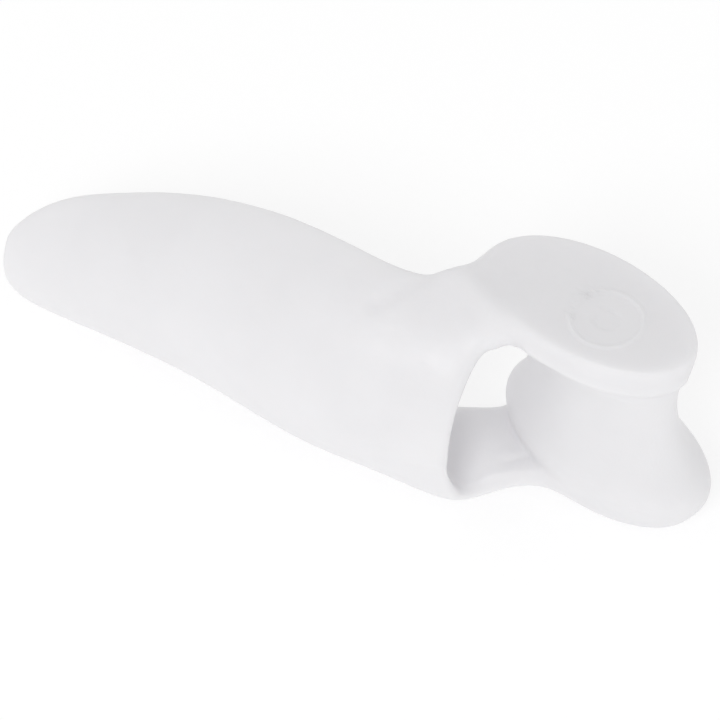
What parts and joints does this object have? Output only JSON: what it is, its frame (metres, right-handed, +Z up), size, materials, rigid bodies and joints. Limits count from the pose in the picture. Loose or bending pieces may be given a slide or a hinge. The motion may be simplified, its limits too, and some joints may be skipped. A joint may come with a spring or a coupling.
{
  "type": "gel bunion toe spreader",
  "caption": "Soft gel bunion shield: a cupped pad for the side of the foot, with a loop for the big toe and a spool-shaped spreader beside it.",
  "frame": {"origin": "centre of the bounding box at its bottom, where the spreader's foot and the pad's lower edge stand", "axes": "+X towards the tips of the toes, the pad's tongue towards -X; +Y towards the second toe; +Z up, from the sole to the top of the toe"},
  "size_m": [0.0906, 0.031, 0.0304],
  "materials": {
    "gel": "satin, milky translucent"
  },
  "bodies": {
    "root": {"toe_spreader": "gel"}
  },
  "joints": []
}
